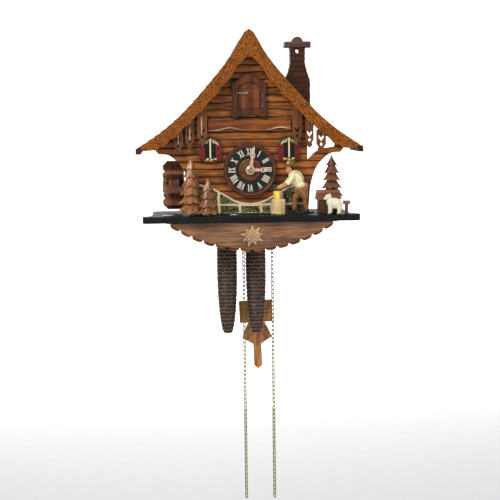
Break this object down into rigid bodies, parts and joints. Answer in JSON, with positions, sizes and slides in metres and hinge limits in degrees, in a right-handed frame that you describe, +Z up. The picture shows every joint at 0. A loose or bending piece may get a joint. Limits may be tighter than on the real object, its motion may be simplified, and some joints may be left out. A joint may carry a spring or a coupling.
{
  "type": "cuckoo clock",
  "caption": "Chalet cuckoo clock with a curved gable roof, chimney, carved yard with a wood chopper, pinecone weights on chains and a pendulum.",
  "frame": {"origin": "on the rear face of the back panel, where it meets the wall, level with the centre of the dial", "axes": "+Z up, +Y into the wall, +X to the viewer's right"},
  "size_m": [0.333, 0.148, 0.7094],
  "materials": {
    "walnut": "stained satin",
    "plank": "stained satin",
    "dark_wood": "dark stained",
    "thatch": "punched texture, stained",
    "fir": "carved, stained",
    "pale_wood": "raw",
    "yellow_wood": "painted yellow",
    "black_paint": "painted gloss",
    "stone": "painted stonework relief",
    "burgundy": "painted",
    "charcoal": "matte with raised cream numerals",
    "peach": "pale fretwork",
    "brass": "satin",
    "steel": "satin",
    "iron": "blackened with copper highlights",
    "shirt": "carved and painted",
    "skin": "carved and painted",
    "dog_coat": "carved and painted",
    "kid": "kid leather lid"
  },
  "bodies": {
    "case": {"apron_board": "walnut", "apron_scallop": "fir", "back_panel": "walnut", "balcony_board": "walnut", "base_plate": "black_paint", "bellows_left": "pale_wood", "bellows_right": "pale_wood", "case_left_side": "walnut", "case_right_side": "walnut", "chapter_ring": "charcoal", "chimney": "dark_wood", "chopper_body": "shirt", "chopping_block": "pale_wood", "dial": "walnut", "dog": "dog_coat", "dog_house": "walnut", "door_frame": "dark_wood", "eave_fretwork_left": "fir", "eave_fretwork_right": "fir", "edelweiss": "peach", "facade": "plank", "feeding_table": "walnut", "gable_board": "thatch", "gong": "steel", "movement_back_plate": "brass", "movement_front_plate": "brass", "roof_left": "dark_wood", "roof_right": "dark_wood", "split_log": "yellow_wood", "stone_wall": "stone", "tree_right": "fir", "tree_small": "fir", "tree_tall": "fir", "window_left": "burgundy", "window_right": "burgundy"},
    "pendulum": {"pendulum_rod": "dark_wood", "pendulum_bob": "fir"},
    "anchor": {"anchor": "steel"},
    "minute": {"minute_hand": "peach", "hand_nut": "brass", "minute_arbor": "steel"},
    "hour": {"hour_hand": "peach", "hour_wheel": "brass"},
    "door": {"cuckoo_door": "walnut"},
    "latch": {"door_latch": "steel"},
    "bird": {"bird": "iron", "bird_perch": "steel"},
    "weight_left": {"weight_left": "iron"},
    "chain_left": {"chain_left": "brass"},
    "chain_wheel_left": {"chain_wheel_left": "brass"},
    "weight_right": {"weight_right": "iron"},
    "chain_right": {"chain_right": "brass"},
    "chain_wheel_right": {"chain_wheel_right": "brass"},
    "escape_wheel": {"escape_wheel": "brass"},
    "bellows_lid_left": {"bellows_lid_left": "kid"},
    "bellows_lid_right": {"bellows_lid_right": "kid"},
    "hammer": {"gong_hammer": "iron"},
    "chopper_arms": {"chopper_arms": "skin", "axe": "steel"},
    "mill_wheel": {"mill_wheel": "walnut"}
  },
  "joints": [
    {"name": "pendulum_swing", "type": "hinge", "parent": "case", "child": "pendulum", "pos_m": [0, -0.024, 0.06], "axis": [0, -1, 0], "range_deg": [-6, 2]},
    {"name": "anchor_rock", "type": "hinge", "parent": "case", "child": "anchor", "pos_m": [0, -0.037, 0.045], "axis": [0, -1, 0], "range_deg": [-9.7, 3.3]},
    {"name": "minute_hand_turn", "type": "hinge", "parent": "case", "child": "minute", "pos_m": [0, -0.1, 0], "axis": [0, 1, 0], "continuous": true},
    {"name": "hour_hand_turn", "type": "hinge", "parent": "case", "child": "hour", "pos_m": [0, -0.1, 0], "axis": [0, 1, 0], "continuous": true},
    {"name": "cuckoo_door_swing", "type": "hinge", "parent": "case", "child": "door", "pos_m": [0.0155, -0.1006, 0.107], "axis": [0, 0, 1], "range_deg": [0, 96]},
    {"name": "door_latch_turn", "type": "hinge", "parent": "door", "child": "latch", "pos_m": [-0.0032, -0.101, 0.1112], "axis": [0, 1, 0], "range_deg": [0, 80]},
    {"name": "cuckoo_out", "type": "slide", "parent": "case", "child": "bird", "axis": [0, -1, 0], "range_m": [0, 0.03]},
    {"name": "weight_left_drop", "type": "slide", "parent": "case", "child": "weight_left", "axis": [0, 0, -1], "range_m": [0, 0.11]},
    {"name": "chain_left_rise", "type": "slide", "parent": "case", "child": "chain_left", "axis": [0, 0, 1], "range_m": [0, 0.11]},
    {"name": "chain_wheel_left_turn", "type": "hinge", "parent": "case", "child": "chain_wheel_left", "pos_m": [-0.0216, -0.052, -0.028], "axis": [0, -1, 0], "range_deg": [0, 506]},
    {"name": "weight_right_drop", "type": "slide", "parent": "case", "child": "weight_right", "axis": [0, 0, -1], "range_m": [0, 0.11]},
    {"name": "chain_right_rise", "type": "slide", "parent": "case", "child": "chain_right", "axis": [0, 0, 1], "range_m": [0, 0.11]},
    {"name": "chain_wheel_right_turn", "type": "hinge", "parent": "case", "child": "chain_wheel_right", "pos_m": [0.0216, -0.052, -0.028], "axis": [0, -1, 0], "range_deg": [0, 506]},
    {"name": "escape_wheel_turn", "type": "hinge", "parent": "case", "child": "escape_wheel", "pos_m": [0, -0.037, 0.029], "axis": [0, 1, 0], "continuous": true},
    {"name": "bellows_lid_left_lift", "type": "hinge", "parent": "case", "child": "bellows_lid_left", "pos_m": [-0.06, -0.03, 0.0583], "axis": [-1, 0, 0], "range_deg": [0, 14]},
    {"name": "bellows_lid_right_lift", "type": "hinge", "parent": "case", "child": "bellows_lid_right", "pos_m": [0.06, -0.03, 0.0583], "axis": [-1, 0, 0], "range_deg": [0, 14]},
    {"name": "gong_hammer_lift", "type": "hinge", "parent": "case", "child": "hammer", "pos_m": [-0.066, -0.013, 0.0334], "axis": [0, -1, 0], "range_deg": [0, 14]},
    {"name": "chopper_swing", "type": "hinge", "parent": "case", "child": "chopper_arms", "pos_m": [0.0605, -0.111, -0.0095], "axis": [0, 1, 0], "range_deg": [0, 55]},
    {"name": "mill_wheel_turn", "type": "hinge", "parent": "case", "child": "mill_wheel", "pos_m": [-0.111, -0.06, -0.0224], "axis": [1, 0, 0], "continuous": true}
  ],
  "couplings": [
    {"joint": "anchor_rock", "follows": "pendulum_swing", "ratio": 1.6},
    {"joint": "hour_hand_turn", "follows": "minute_hand_turn", "ratio": 0.083333},
    {"joint": "cuckoo_door_swing", "follows": "cuckoo_out", "rad_per_m": 55},
    {"joint": "chain_left_rise", "follows": "weight_left_drop", "ratio": 1},
    {"joint": "chain_wheel_left_turn", "follows": "weight_left_drop", "rad_per_m": 80},
    {"joint": "chain_right_rise", "follows": "weight_right_drop", "ratio": 1},
    {"joint": "chain_wheel_right_turn", "follows": "weight_right_drop", "rad_per_m": 80}
  ]
}
